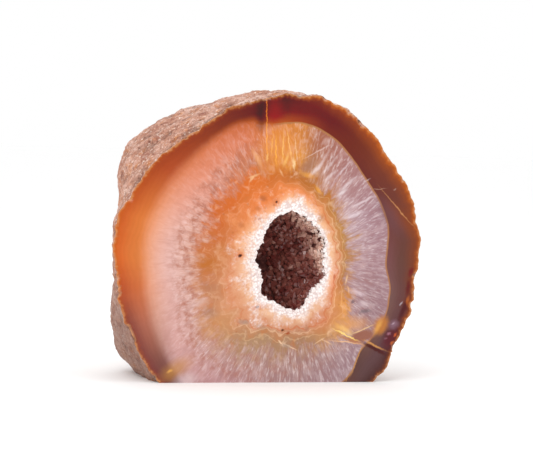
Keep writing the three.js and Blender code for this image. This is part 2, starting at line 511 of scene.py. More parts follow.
# %% Growth inside the stone
def growth_inside(spot):
    """Growth value at any point within the stone."""
    direction = math.degrees(math.atan2(spot.z, spot.x))
    behind = math.asin(max(0.0, min(1.0, spot.y / spot.length)))
    radii = [rounded(edge(direction), deep, behind, 2.15) for edge, deep in zip(edges, BAND_DEPTHS)]
    radii[-1] += lobe_height(direction, behind)
    band = max(0, min(3, bisect_right(radii, spot.length) - 1))
    return band + (spot.length - radii[band]) / (radii[band + 1] - radii[band])


print("growth on the base's front edge:", round(growth_inside(Vector((0, 0, -BASE_DROP))), 2))

# %% Saw the base
BASE_SLICE = 5  # mm between the slices
BASE_REACH = {"x": (-45, 35), "y": (5, 50)}  # mm that the slices span
everything = stone_mesh.verts[:] + stone_mesh.edges[:] + stone_mesh.faces[:]
cut = bmesh.ops.bisect_plane(
    stone_mesh, geom=everything, dist=1e-5, plane_co=(0, 0, -BASE_DROP), plane_no=(0, 0, 1), clear_inner=True,
)
rim = [part for part in cut["geom_cut"] if isinstance(part, bmesh.types.BMEdge)]
base_faces = bmesh.ops.contextual_create(stone_mesh, geom=rim)["faces"]
for axis, reach in ((Vector((1, 0, 0)), BASE_REACH["x"]), (Vector((0, 1, 0)), BASE_REACH["y"])):
    for distance in range(*reach, BASE_SLICE):
        parts = {part for poly in base_faces for part in (*poly.verts, *poly.edges, poly)}
        sliced = bmesh.ops.bisect_plane(
            stone_mesh, geom=list(parts), dist=1e-5, plane_co=axis * distance, plane_no=axis
        )
        base_faces = [part for part in sliced["geom"] if isinstance(part, bmesh.types.BMFace)]
print("base:", len(base_faces), "small faces")

# %% Give the base its bands
BASE_GAP = 8  # mm of rim for each step of growth, underneath
base_verts = {vert for poly in base_faces for vert in poly.verts}
for vert in base_verts:
    vert[growth_layer] = min(growth_inside(vert.co), 4.0)
    vert[gap_layer] = (4 - vert[growth_layer]) * BASE_GAP
    set_ring_values(vert, math.degrees(math.atan2(vert.co.z, vert.co.x)))
for poly in base_faces:
    poly.material_index = BASE
    poly.smooth = False
for edge in stone_mesh.edges:
    kinds = {poly.material_index for poly in edge.link_faces}
    edge.smooth = len(kinds) < 2
bmesh.ops.triangulate(stone_mesh, faces=[poly for poly in base_faces if len(poly.verts) > 4])
print("points on the base:", len(base_verts))

# %% [markdown]
# ## The finished stone
# The mesh was shaped in millimetres round the pocket's centre. Now it is scaled to metres and moved to
# where the measured frame has the stone. The place is in the mesh and not in the object, so patterns on
# object coordinates stay put.

# %% Into the frame
def into_frame(mesh):
    """Turn a mesh in mm round the pocket's centre into metres in the frame, with its faces outwards."""
    bmesh.ops.recalc_face_normals(mesh, faces=mesh.faces)
    bmesh.ops.scale(mesh, vec=(MM, MM, MM), verts=mesh.verts)
    bmesh.ops.translate(mesh, vec=centre, verts=mesh.verts)


into_frame(stone_mesh)
open_edges = sum(1 for edge in stone_mesh.edges if len(edge.link_faces) != 2)
print("stone:", sum(len(p.verts) - 2 for p in stone_mesh.faces), "triangles,", open_edges, "open edges")

stone = as_object("agate_stone_visual", stone_mesh)
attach(stone, "root")
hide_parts("agate_stone")

# %% [markdown]
# ## The druse
# Druse is a carpet of small crystals. Quartz grows six-sided columns with a pyramid on top, and in a
# pocket they crowd together, so mostly the pyramids show. A particle system could scatter copies of one
# crystal, but each real one has its own shape and shade, so a loop grows them one at a time. It has to
# know where the wall is and which way the wall faces.

# %% A spot on the pocket's wall
MIDDLE_SHARE = 0.4  # of the pocket's depth, where its middle is
POCKET_MIDDLE = MIDDLE_SHARE * (POCKET_LEAN + Vector((0, BAND_DEPTHS[0], 0)))


def wall_frame(direction, behind):
    """A spot on the pocket's wall and the way it faces, into the pocket."""
    spot = pocket_point(direction, behind)
    along = pocket_point(direction + 2, behind) - spot
    deeper = pocket_point(direction, behind + 0.04) - spot
    inwards = along.cross(deeper).normalized()
    return spot, inwards if inwards.dot(POCKET_MIDDLE - spot) > 0 else -inwards


print("the wall below the middle faces:", [round(part, 2) for part in wall_frame(270, 0.5)[1]])

# %% [markdown]
# ## One crystal
# A crystal could be cut from a block, but a cone with six sides is nearly one already: it narrows upwards
# as the real faces do. Its flat top is poked up to a point, a little off centre as real ones are.

# %% One crystal
COLUMN_SHARE = 0.12  # of the height, for the upright sides: the rest is the pyramid
SHOULDER = 0.43  # half width where the pyramid starts, as a share of the width
ROOT = 0.9  # mm sunk into the wall
OFF_CENTRE = 0.14  # how far the tip may be off centre, as a share of the width
rng = random.Random(7)
crystal_scratch = bpy.data.meshes.new("crystal_scratch")
druse_mesh = bmesh.new()


def grow_crystal(spot, axis, width, height, shade):
    """Add one six-sided crystal that stands on the spot, with its own shade. Sizes are mm."""
    turned = axis.to_track_quat("Z", "Y").to_matrix().to_4x4()
    spin = Matrix.Rotation(rng.uniform(0, math.pi), 4, "Z")
    column = COLUMN_SHARE * height
    seed = bmesh.new()
    shade_layer, depth_layer = [seed.verts.layers.float.new(name) for name in ("shade", "depth")]
    bmesh.ops.create_cone(
        seed, cap_ends=True, segments=6, radius1=width / 2, radius2=SHOULDER * width, depth=column + ROOT,
        matrix=Matrix.Translation(spot + axis * (column - ROOT) / 2) @ turned @ spin,
    )
    top = max(seed.faces, key=lambda face: face.calc_center_median().dot(axis))
    point = bmesh.ops.poke(seed, faces=[top], offset=height - column)["verts"][0]
    point.co += Vector([rng.uniform(-OFF_CENTRE, OFF_CENTRE) * width for _ in range(3)])
    for vert in seed.verts:
        vert[shade_layer] = shade
        vert[depth_layer] = max(spot.y, 0)
    seed.to_mesh(crystal_scratch)
    seed.free()
    druse_mesh.from_mesh(crystal_scratch)


print("a crystal 2 mm wide has a shoulder, mm:", round(2 * SHOULDER * 2, 2))

# %% [markdown]
# ## The carpet of crystals
# The crystals stand all over the wall, about as evenly as seeds in a sunflower, and a golden turn from one
# to the next spreads them in that way. Each leans by chance. At the upper right, near the mouth, they are
# smaller, and painted paler as painted light, where the lamps reach that wall. Fine ones close the gap along
# the mouth.

# %% Crystals on the wall
CRYSTAL_COUNT = 1100
GOLDEN_TURN = 180 * (3 - math.sqrt(5))  # degrees
WIDTHS = (1.7, 3.2)  # mm at the root. Neighbours overlap, so only the tip of each shows
PAINTED_GLINT, PAINTED_GLINTS = 0.45, 0.04  # the shade painted on a few crystals as painted glints, and how many get it
NEAREST, SPREAD = 0.04, 0.95  # where the crystals start, and how far they go, as shares of the depth
for i in range(CRYSTAL_COUNT):
    behind = math.asin(NEAREST + SPREAD * (i + 0.5) / CRYSTAL_COUNT)
    spot, inwards = wall_frame(i * GOLDEN_TURN + rng.uniform(-3, 3), behind)
    lean = Vector([rng.uniform(-0.6, 0.6) for _ in range(3)])
    upper_right = max(0.0, min(1.0, (spot.x + spot.z - 5) / 8))
    # Painted light: crystals on the lit wall at the upper right, near the mouth, get a paler shade.
    paler = upper_right * max(0.0, min(1.0, 1.4 - spot.y / 11))
    width = (rng.uniform(*WIDTHS) - 0.7 * paler) * min(1, 0.45 + spot.y / 7)  # finer near the mouth
    height = width * rng.uniform(0.35, 0.65)
    # Painted highlight: a few crystals get a paler shade as painted glints.
    shade = PAINTED_GLINT if rng.random() < PAINTED_GLINTS else 0.35 * rng.random() + 0.65 * paler
    grow_crystal(spot, (inwards + lean).normalized(), width, height, shade)
print("crystals on the wall:", CRYSTAL_COUNT)

# %% Fine crystals at the mouth
MOUTH_CRYSTALS = 110
for i in range(MOUTH_CRYSTALS):
    direction = 360 * (i + rng.uniform(-0.3, 0.3)) / MOUTH_CRYSTALS
    spot, inwards = wall_frame(direction, 0.03)
    lean = Vector([rng.uniform(*reach) for reach in ((-0.3, 0.3), (0.1, 0.5), (-0.3, 0.3))])
    axis = (inwards + lean).normalized()
    width = rng.uniform(0.5, 0.9)
    spot.y = width / 2 + rng.uniform(0.05, 0.25)
    grow_crystal(spot, axis, width, width * rng.uniform(0.1, 0.45), rng.random())
bpy.data.meshes.remove(crystal_scratch)
print("crystals at the mouth:", MOUTH_CRYSTALS)

# %% The finished druse
into_frame(druse_mesh)
print("crystals:", CRYSTAL_COUNT + MOUTH_CRYSTALS, "faces:", len(druse_mesh.faces))
druse = as_object("druse_crystals_visual", druse_mesh)
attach(druse, "root")
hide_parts("druse_crystals")

# %% [markdown]
# ## Colours of the agate, band by band
# Iron coloured this stone. Heat and rust gave the outer band its orange to maroon, the quartz ring is
# milky with a pink or mauve cast, and the chalcedony next to the pocket is peach. The colour changes on
# the way round as well as outwards, so each band has a ring of colours for its inner side and its outer.
# A painted image could hold them too, but a ring of a dozen colours stays sharp at any size and is easy
# to change. A radial gradient reads the ring, and the growth value says how far out a point is.

# %% What the colour nodes share
EASE = {"interpolation_type": "SMOOTHSTEP"}
TINT = {"data_type": "RGBA"}


def around(stops):
    """Ramp stops for a ring of colours. The radial gradient starts and ends at 180 degrees."""
    ordered = sorted(((direction / 360 + 0.5) % 1, colour) for direction, colour in stops)
    return ordered + [(1.0, ordered[0][1])]


def face_space(tree):
    """Object coordinates in mm from the pocket's centre, and the same pressed flat: x right, y up."""
    place = add(tree, "TexCoord", {"give": "Object"})
    local = add(tree, "Mapping", {"Location": -centre / MM, "Scale": (1 / MM,) * 3}, Vector=place)
    return local, add(tree, "Mapping", {"Rotation": (-math.pi / 2, 0, 0), "Scale": (1, 0, 1)}, Vector=local)


def thickness(band):
    """How thick a band is on the face, in mm, to the left of the pocket and to the right."""
    return [round(edges[band + 1](direction) - edges[band](direction), 1) for direction in (180, 0)]


print("where a ring's colour at 90 degrees sits on its ramp:", around([(0, "#ffffff"), (90, "#000000")])[1][0])

# %% [markdown]
# ## Patterns that follow the growth
# Quartz fibres run outwards from the pocket, so their noise has to be long outwards and narrow sideways
# all the way round. Stretched object coordinates would only do that in one direction. Here the direction
# and the growth value together make a space of their own, and the noise is read in that space. Another
# noise, added to the growth value, makes the borders between the bands wander.

# %% Fibres, and borders that wander
BUNDLE_WIDTH, FIBRE_WIDTH = 1.9, 0.63  # mm across a bundle of quartz fibres, and across one as drawn
FIBRE_RADIUS = 38  # mm from the pocket's centre, where the widths of the quartz fibres are measured
QUARTZ_THICKNESS = 15  # mm that one step of growth is there


def spoke_noise(tree, flat, growth, width, length, settings):
    """Noise drawn out into fibres that run from the rind to the pocket. Their width and length are in mm."""
    around_scale, out_scale = FIBRE_RADIUS / width, QUARTZ_THICKNESS / length
    outward = add(tree, "VectorMath", {"operation": "NORMALIZE"}, Vector=flat)
    spokes = add(tree, "VectorMath", {"operation": "SCALE", "Scale": around_scale}, Vector=outward)
    rise = add(tree, "Math", {"operation": "MULTIPLY", 1: out_scale}, _0=growth)
    lift = add(tree, "CombineXYZ", {}, Z=rise)
    space = add(tree, "VectorMath", {"operation": "ADD"}, _0=spokes, _1=lift)
    return add(tree, "TexNoise", {"Scale": 1.0} | settings, Vector=space)


def bent_growth(tree, growth, wave, amount, rest=0.5):
    """The growth value with its borders bent by a wave whose middle value is rest."""
    shift = add(tree, "Math", {"operation": "MULTIPLY_ADD", 1: amount, 2: -rest * amount}, _0=wave)
    return add(tree, "Math", {"operation": "ADD"}, _0=growth, _1=shift)


print("bundles of fibres in a quarter of the ring:", round(FIBRE_RADIUS * math.pi / 2 / BUNDLE_WIDTH))

# %% [markdown]
# ## The outer band
# This band is chalcedony: quartz in fibres too fine to see, laid down in layers and coloured by iron. It
# is the deepest colour of the stone, orange on the left and maroon on the right. Its rim is so thin that
# light shines through from behind. Transmission could show that, but it is slow and noisy in a solid
# stone, so a paler ragged rim is mixed in by the distance from the rind.

# %% Colours of the outer band
BAND_OUTER = [
    (0, "#7c3c22"), (25, "#8a4424"), (50, "#9c4c20"), (75, "#8a3c1c"), (92, "#4c120c"), (98, "#561812"),
    (120, "#782f1e"), (145, "#983e1c"), (165, "#bc5424"), (180, "#cc5e26"), (188, "#b04a24"), (200, "#7c3a30"),
    (225, "#74383a"), (255, "#784440"), (305, "#4c302e"), (325, "#4c1c18"), (342, "#70341f"),
]
BAND_MIDDLE = [
    (0, "#644038"), (25, "#683a32"), (50, "#723628"), (75, "#641f16"), (90, "#6e180c"), (96, "#4c0e0a"),
    (120, "#7c3420"), (145, "#a84a28"), (165, "#cc7036"), (180, "#cc7238"), (190, "#c06438"),
    (204, "#a6624e"), (218, "#7a4a42"), (230, "#6c403e"), (255, "#805044"),
    (305, "#604444"), (325, "#5e3e42"), (342, "#66403e"),
]
BAND_INNER = [
    (0, "#74494a"), (25, "#683a34"), (50, "#68302a"), (75, "#702a1c"), (88, "#98400f"), (98, "#a84c1c"),
    (120, "#bc5c2c"), (145, "#cc7240"), (165, "#e08c54"), (180, "#de905e"), (190, "#dc9064"),
    (204, "#c48c74"), (218, "#8a5c54"), (230, "#7c504c"), (255, "#94604e"),
    (305, "#5e403c"), (325, "#745046"), (342, "#70504c"),
]
print("colours in each ring:", [len(ring) for ring in (BAND_OUTER, BAND_MIDDLE, BAND_INNER)])

# %% The outer band
LAYER_TURN = 45.0  # radians of a sine wave in one step of growth, 10 mm, so layers are 1.4 mm apart


def band_colour(tree, growth, turn, local):
    """Deep orange to maroon, faintly layered, with a rim that glows where light comes through."""
    outer, middle, inner = [
        add(tree, "ValToRGB", {"stops": around(ring)}, Fac=turn)
        for ring in (BAND_OUTER, BAND_MIDDLE, BAND_INNER)
    ]
    to_outer = add(tree, "MapRange", EASE | {"From Min": 3.45, "From Max": 4.0}, Value=growth)
    to_middle = add(tree, "MapRange", EASE | {"From Min": 3.0, "From Max": 3.5}, Value=growth)
    colour = add(tree, "Mix", TINT, Factor=to_outer, A=middle, B=outer)
    colour = add(tree, "Mix", TINT, Factor=to_middle, A=inner, B=colour)

    # Real layers are about 0.1 mm apart. These are drawn coarser, since finer ones would not show.
    layers = add(tree, "Math", {"operation": "MULTIPLY", 1: LAYER_TURN}, _0=growth)
    drift = add(tree, "TexNoise", {"Scale": 1 / 10, "Detail": 3}, Vector=local)
    drifted = add(tree, "Math", {"operation": "MULTIPLY_ADD", 1: 24.0}, _0=drift, _2=layers)
    wave = add(tree, "Math", {"operation": "SINE"}, _0=drifted)
    lines = add(tree, "MapRange", {"From Min": -1, "From Max": 1, "To Max": 0.04}, Value=wave)
    colour = add(tree, "Mix", TINT | {"B": linear("#3c1c14")}, Factor=lines, A=colour)

    # Light shines through the thin rim next to the rind, whose ragged line wanders by 1.4 mm patches.
    gap = add(tree, "Attribute", {"attribute_name": "rim_gap", "give": "Fac"})
    ragged = add(tree, "TexNoise", {"Scale": 1 / 1.4, "Detail": 4}, Vector=local)
    reach = add(tree, "Math", {"operation": "MULTIPLY_ADD", 1: -2.4}, _0=ragged, _2=gap)
    near_rind = add(tree, "MapRange", EASE | {"From Min": 0.9, "From Max": -1.0}, Value=reach)
    strength = add(tree, "Attribute", {"attribute_name": "glow", "give": "Fac"})
    glow = add(tree, "Math", {"operation": "MULTIPLY"}, _0=near_rind, _1=strength)
    colour = add(tree, "Mix", TINT | {"B": linear("#b45a1c")}, Factor=glow, A=colour)
    lip = add(tree, "MapRange", EASE | {"From Min": -0.3, "From Max": -1.2, "To Max": 0.7}, Value=reach)
    return add(tree, "Mix", TINT | {"B": linear("#c88a58")}, Factor=lip, A=colour)


print("outer band, mm thick on the left and right:", thickness(3))

# %% [markdown]
# ## The quartz ring
# The quartz is coarser: crystals side by side, grown inwards like the spokes of a wheel. Milky ones
# scatter light and look white, clear ones let the dark behind them through. On the left brown clouds of
# iron mottle it, on the right it is feathery. A few mixes over the ring's colour draw each of these from
# the fibre noise, which costs far less than crystals of real glass would.

# %% Colours of the quartz ring
QUARTZ_OUTER = [
    (0, "#a07e84"), (30, "#a07e86"), (60, "#a0706c"), (78, "#a06044"), (86, "#c87c34"), (98, "#cc7430"),
    (112, "#cc7450"), (140, "#d88c72"), (165, "#d8a69a"), (185, "#d6aaa2"), (215, "#cc9c96"),
    (240, "#b88c8e"), (270, "#a08082"), (300, "#9c8086"), (330, "#94747a"),
]
QUARTZ_INNER = [
    (0, "#ac8c90"), (30, "#b89ea4"), (60, "#b89494"), (78, "#b88250"), (86, "#dc9434"), (100, "#dc8c3a"),
    (112, "#b46c40"), (140, "#cc9282"), (165, "#cc9a88"), (180, "#cc9a86"), (200, "#d0a69a"), (225, "#c09890"),
    (250, "#a8847a"), (280, "#a07c72"), (305, "#a0807c"), (330, "#a48488"),
]
print("colours in each ring:", [len(ring) for ring in (QUARTZ_OUTER, QUARTZ_INNER)])

# %% The quartz ring
def quartz_colour(tree, growth, turn, flat, local):
    """Milky pink to mauve, with bright fibres on the right and brown clouds on the left."""
    outer, inner = [
        add(tree, "ValToRGB", {"stops": around(ring)}, Fac=turn) for ring in (QUARTZ_OUTER, QUARTZ_INNER)
    ]
    to_outer = add(tree, "MapRange", EASE | {"From Min": 2.0, "From Max": 2.8}, Value=growth)
    colour = add(tree, "Mix", TINT, Factor=to_outer, A=inner, B=outer)

    # Bundles of fibres are about 1.9 mm wide and 4.2 mm long. Single fibres are a tenth of a millimetre
    # wide and drawn 0.63 mm wide, so that they show. The brown clouds are 2.8 mm across.
    bundle = {"Detail": 5, "Roughness": 0.62, "Distortion": 0.7}
    fibre = {"Detail": 4, "Roughness": 0.62, "Distortion": 0.5}
    coarse = spoke_noise(tree, flat, growth, BUNDLE_WIDTH, 4.2, bundle)
    fine = spoke_noise(tree, flat, growth, FIBRE_WIDTH, 2.5, fibre)
    cloud = add(tree, "TexNoise", {"Scale": 1 / 2.8, "Detail": 4, "Roughness": 0.6}, Vector=local)
    mottle = add(tree, "Attribute", {"attribute_name": "mottle", "give": "Fac"})
    feathers = add(tree, "Attribute", {"attribute_name": "feathers", "give": "Fac"})
    # The clouds fade out towards the rind, where the quartz first grew clear of them.
    inner_part = add(tree, "MapRange", EASE | {"From Min": 2.85, "From Max": 2.45}, Value=growth)
    where_mottled = add(tree, "Math", {"operation": "MULTIPLY"}, _0=mottle, _1=inner_part)
    blotch = add(tree, "MapRange", EASE | {"From Min": 0.56, "From Max": 0.36, "To Max": 0.75}, Value=cloud)
    blotch = add(tree, "Math", {"operation": "MULTIPLY"}, _0=blotch, _1=where_mottled)
    calm_part = add(tree, "MapRange", EASE | {"From Min": 2.35, "From Max": 2.8, "To Max": 0.55}, Value=growth)
    calm = add(tree, "Math", {"operation": "MULTIPLY"}, _0=mottle, _1=calm_part)
    lively = add(tree, "Math", {"operation": "SUBTRACT", 0: 1.0}, _1=calm)
    milky = add(tree, "MapRange", EASE | {"From Min": 0.44, "From Max": 0.7, "To Max": 0.26}, Value=coarse)
    clear = add(tree, "MapRange", EASE | {"From Min": 0.52, "From Max": 0.34, "To Max": 0.26}, Value=coarse)
    bright = add(tree, "MapRange", EASE | {"From Min": 0.48, "From Max": 0.74, "To Max": 0.6}, Value=fine)
    bright = add(tree, "Math", {"operation": "MULTIPLY"}, _0=bright, _1=feathers)
    gaps = add(tree, "MapRange", EASE | {"From Min": 0.5, "From Max": 0.32, "To Max": 0.14}, Value=fine)
    for factor, tint in (
        (milky, "#ecd4d0"), (clear, "#94645c"), (blotch, "#a8644c"), (gaps, "#906460"), (bright, "#f6eaea"),
    ):
        shown = add(tree, "Math", {"operation": "MULTIPLY"}, _0=factor, _1=lively)
        colour = add(tree, "Mix", TINT | {"B": linear(tint)}, Factor=shown, A=colour)
    return colour


print("quartz ring, mm thick on the left and right:", thickness(2))

# %% [markdown]
# ## The chalcedony round the pocket
# Between the quartz and the pocket lies peach chalcedony again. It grew as small domes, so its thin layers
# run in scallops like lace, with rusty dots where iron sat. One colour ramp holds all the layers, because
# a ramp can have hard and soft lines side by side, and the wavy growth value bends them together.

# %% Colours of the chalcedony
CHALCEDONY_OUTER = [
    (0, "#ae7c4e"), (30, "#b4824c"), (60, "#ae7038"), (90, "#b0642c"), (115, "#d06a2c"), (150, "#c46430"),
    (180, "#bc7044"), (215, "#bc8462"), (245, "#a88464"), (280, "#a0785c"), (305, "#c48c58"), (322, "#d89450"),
    (338, "#ac744a"),
]
CHALCEDONY_INNER = [
    (0, "#d89a76"), (30, "#d89a70"), (60, "#dc9464"), (90, "#e28850"), (115, "#de7e46"), (150, "#dc8e5c"),
    (180, "#d89670"), (215, "#d4946e"), (250, "#cc8e6c"), (280, "#c88c6c"), (310, "#d09070"), (338, "#e09470"),
]
print("colours in each ring:", [len(ring) for ring in (CHALCEDONY_OUTER, CHALCEDONY_INNER)])

# %% The chalcedony round the pocket
def chalcedony_colour(tree, growth, turn, local, scallops):
    """Peach, clouded with milk and rust in patches of 3 mm, with scalloped layers like lace."""
    outer, inner = [
        add(tree, "ValToRGB", {"stops": around(ring)}, Fac=turn)
        for ring in (CHALCEDONY_OUTER, CHALCEDONY_INNER)
    ]
    to_outer = add(tree, "MapRange", EASE | {"From Min": 1.15, "From Max": 1.8}, Value=scallops)
    colour = add(tree, "Mix", TINT, Factor=to_outer, A=inner, B=outer)
    near_rim = add(tree, "MapRange", EASE | {"From Min": 1.32, "From Max": 0.95, "To Max": 0.45}, Value=growth)
    colour = add(tree, "Mix", TINT | {"B": linear("#f4d0ac")}, Factor=near_rim, A=colour)

    patchy = {"Scale": 1 / 3.3, "Detail": 6, "Roughness": 0.62, "Distortion": 0.6}
    cloud = add(tree, "TexNoise", patchy, Vector=local)
    milk = add(tree, "MapRange", EASE | {"From Min": 0.5, "From Max": 0.78, "To Max": 0.5}, Value=cloud)
    rust = add(tree, "MapRange", EASE | {"From Min": 0.48, "From Max": 0.26, "To Max": 0.55}, Value=cloud)
    seeds = add(tree, "TexVoronoi", {"Scale": 1 / 3.6}, Vector=local)
    dots = add(tree, "MapRange", EASE | {"From Min": 0.14, "From Max": 0.06, "To Max": 0.4}, Value=seeds)
    # Real layers are a few hundredths of a millimetre thick. The ramp groups them into lines of 0.3 to 1 mm.
    layer = add(tree, "Math", {"operation": "SUBTRACT", 1: 1.0}, _0=scallops)
    lines = add(tree, "ValToRGB", {"stops": [
        (0.0, "#c8622c00"), (0.3, "#c8622c00"), (0.34, "#c45a28a0"), (0.39, "#c8622c00"), (0.46, "#f6d0a800"),
        (0.5, "#f6d0a868"), (0.53, "#b8744040"), (0.6, "#b8744068"), (0.68, "#b8744020"), (0.71, "#f0c89850"),
        (0.75, "#f0c89800"), (0.86, "#9c704800"), (0.93, "#9c704850"), (1.0, "#9c704800")]}, Fac=layer)
    lace = add(tree, "Attribute", {"attribute_name": "lace", "give": "Fac"})
    shown = add(tree, "Math", {"operation": "MULTIPLY"}, _0=lines.node.outputs["Alpha"], _1=lace)
    for factor, tint in ((milk, "#f6cfae"), (rust, "#c4703c"), (dots, "#a4603c")):
        colour = add(tree, "Mix", TINT | {"B": linear(tint)}, Factor=factor, A=colour)
    return add(tree, "Mix", TINT, Factor=shown, A=colour, B=lines)


print("chalcedony, mm thick on the left and right:", thickness(1))

# %% [markdown]
# ## The white rim of the pocket
# Where the chalcedony ends, fine white quartz begins, and the saw cut through its grains. It looks like
# sugar: each grain scatters light, with grey lines between the grains. Cells of a Voronoi texture are
# shaped like packed grains, which a plain noise is not.

# %% The white sugary rim of the pocket
GRAIN = 0.7  # mm. Real grains are about 0.3 mm, which would blur to plain white in the picture


def sugar_colour(tree, local):
    """White grains with grey between them, and painted shade in small holes where grains fell out."""
    grains = add(tree, "TexVoronoi", {"Scale": 1 / GRAIN}, Vector=local)
    grey = add(tree, "MapRange", EASE | {"From Min": 0.3, "From Max": 0.8, "To Max": 0.68}, Value=grains)
    pits = add(tree, "TexNoise", {"Scale": 1 / 0.9, "Detail": 5, "Roughness": 0.75}, Vector=local)
    # Painted shade: the holes where grains fell out are coloured darker, as shade inside them.
    holes = add(tree, "MapRange", EASE | {"From Min": 0.44, "From Max": 0.33, "To Max": 0.75}, Value=pits)
    colour = add(tree, "Mix", TINT | {"A": linear("#faf2f0"), "B": linear("#ccb0aa")}, Factor=grey)
    return add(tree, "Mix", TINT | {"B": linear("#806468")}, Factor=holes, A=colour)


print("white rim, mm thick on the left and right:", thickness(0))

# %% [markdown]
# ## Cracks, veins and stains
# Later cracks cut across the bands and filled with iron-stained quartz. They differ from stone to stone,
# so each is listed as a long or round spot, at its own place on the face. They could be cut into the
# mesh, but the polish runs over them, so colour is enough. A Mapping node turns the face into the spot's
# own space, and a spherical gradient fades it there from one at its middle to zero at its edge.

# %% The crack at the top, and the feathers beside it
# x, z, half length, half width, turn in degrees, softness, strength, colour. Sizes are millimetres.
CRACK = [  # at the top, dark on its left and glowing red on its right, with amber below it
    (-11.0, 48.8, 4.6, 1.7, 90, 0.9, 0.8, "#3c0a08"), (-6.4, 48.8, 3.6, 2.6, 90, 0.9, 0.75, "#901806"),
    (-9.35, 49.4, 4.6, 0.16, 90, 0.5, 0.8, "#d8742a"), (-4.0, 37.0, 6.4, 5.4, 90, 0.7, 0.7, "#d88a42"),
    (-8.9, 39.8, 6.2, 0.18, 93, 0.6, 0.85, "#f2a044"), (-8.6, 33.8, 1.2, 0.3, 84, 0.8, 0.7, "#f8cc80"),
    (-7.2, 38.6, 4.2, 0.16, 88, 0.7, 0.5, "#f4b45c"), (-5.8, 36.4, 4.2, 0.2, 92, 0.7, 0.7, "#f8b048"),
    (-3.4, 37.2, 4.6, 0.2, 90, 0.7, 0.6, "#f4c070"), (-1.2, 38.4, 4.6, 0.18, 101, 0.7, 0.65, "#f4c078"),
    (1.0, 37.0, 3.8, 0.18, 98, 0.7, 0.5, "#ecc8a0"), (0.5, 32.2, 1.6, 0.4, 95, 0.8, 0.7, "#f6d8a4"),
    (-2.2, 33.4, 2.0, 0.4, 70, 0.8, 0.5, "#f4c474"), (-12.0, 33.6, 3.2, 0.7, 119, 0.8, 0.5, "#ecae78"),
    (-12.8, 28.0, 1.9, 0.3, 22, 0.8, 0.55, "#f0c08c"), (-13.9, 26.8, 1.0, 0.3, 60, 0.8, 0.55, "#f2c898"),
    (-3.7, 29.2, 1.1, 0.3, 120, 0.8, 0.5, "#f0c090"), (4.9, 28.8, 2.2, 0.8, -20, 0.8, 0.7, "#eaa03c"),
    (9.2, 23.6, 1.6, 0.6, -50, 0.8, 0.6, "#e8a03c"), (-9.5, 31.0, 3.4, 1.6, 60, 0.9, 0.5, "#c8743c"),
]
FEATHERS = [  # white feathers in the quartz, upper right, and the brown glassy gap beside them
    (5.4, 31.6, 3.2, 1.8, 55, 0.8, 0.7, "#9a6c58"), (8.4, 36.4, 4.4, 0.2, 28, 0.7, 0.5, "#e0c4bc"),
    (8.2, 30.4, 2.4, 0.6, 48, 0.9, 0.45, "#f0e2e2"), (10.6, 33.4, 3.2, 0.4, 58, 0.9, 0.3, "#ecdadc"),
    (12.6, 31.6, 3.0, 0.4, 50, 0.9, 0.35, "#ecdee0"), (13.2, 28.4, 2.2, 0.5, 42, 0.9, 0.4, "#eee0e2"),
    (17.4, 30.4, 3.0, 0.3, 50, 0.8, 0.4, "#ecdce0"), (20.0, 26.4, 2.8, 0.4, 40, 0.8, 0.4, "#ecdfe2"),
    (17.2, 22.8, 1.8, 0.6, 40, 0.8, 0.5, "#f2e8ea"), (25.8, 27.2, 1.2, 0.16, 34, 0.8, 0.35, "#ecdcdc"),
    (21.6, 15.4, 3.4, 0.6, 18, 0.8, 0.5, "#e6d6dc"), (24.6, 20.0, 3.6, 0.4, 26, 0.8, 0.5, "#ecdce0"),
    (23.8, -10.4, 2.6, 0.7, -15, 0.8, 0.5, "#e4d0d6"), (26.0, -14.2, 1.4, 0.8, 0, 0.9, 0.45, "#dccace"),
    (26.6, -16.6, 1.8, 0.6, 10, 0.8, 0.7, "#6e6064"), (22.2, -13.4, 0.7, 0.4, 40, 0.8, 0.7, "#5c4c5c"),
]
print("spots in the crack and the feathers:", len(CRACK), len(FEATHERS))

# %% The fault and the yellow vein on the right
FAULT = [  # through the outer band on the right
    (38.6, 14.6, 6.0, 2.2, -50, 0.9, 0.5, "#8c4420"), (34.6, 15.6, 6.4, 2.4, -54, 0.9, 0.5, "#6c484e"),
    (37.2, 18.0, 8.0, 0.18, -47, 0.6, 0.8, "#c08454"), (30.4, 24.4, 2.2, 0.14, 8, 0.6, 0.4, "#c89c88"),
    (36.0, 24.4, 0.4, 0.2, 30, 0.8, 0.4, "#c8a89c"), (42.4, -3.4, 1.3, 0.7, 70, 0.7, 0.75, "#6c141c"),
    (41.6, -8.6, 2.6, 0.7, 80, 0.8, 0.7, "#5c1216"), (39.4, -14.0, 0.7, 0.22, 66, 0.9, 0.6, "#c8bcc4"),
    (40.4, -15.6, 4.0, 0.8, 68, 0.8, 0.8, "#481018"), (41.6, -13.0, 1.4, 0.5, 80, 0.8, 0.7, "#b4602c"),
]
